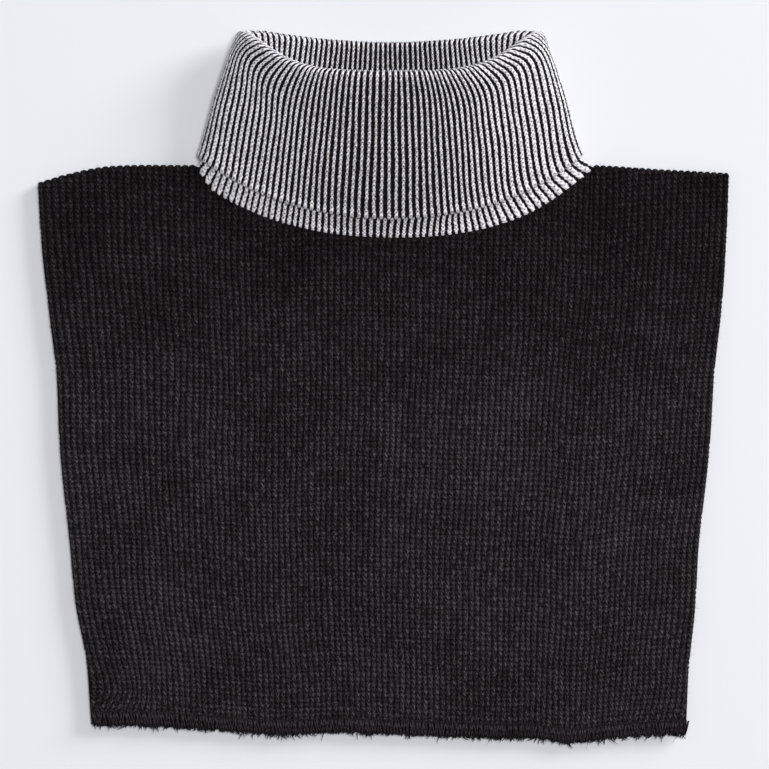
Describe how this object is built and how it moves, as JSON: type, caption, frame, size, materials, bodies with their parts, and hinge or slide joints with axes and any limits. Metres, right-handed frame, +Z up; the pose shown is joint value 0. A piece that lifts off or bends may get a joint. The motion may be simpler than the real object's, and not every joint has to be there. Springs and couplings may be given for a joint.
{
  "type": "turtleneck dickey",
  "caption": "Sleeveless rib-knit bib, folded over at the shoulders, with a striped turned-down turtleneck collar, worn under a coat or sweater to fill its neckline",
  "frame": {"origin": "on the surface that the dickey lies on, under the middle of its outline", "axes": "+Z up out of the surface and out of the front, +Y from the hem to the collar's rim, +X across to the right of someone who looks at the front"},
  "size_m": [0.3594, 0.3714, 0.0392],
  "materials": {
    "black_knit": "matte black rib knit, slightly fuzzy, ribs of about 3 mm",
    "striped_knit": "black and white plated rib knit, white on the raised ribs, black between them",
    "black_thread": "matte black overlock thread with a fluffy cut edge"
  },
  "bodies": {
    "root": {"bib": "black_knit", "collar": "striped_knit", "front_hem": "black_thread", "back_hem": "black_thread"}
  },
  "joints": []
}
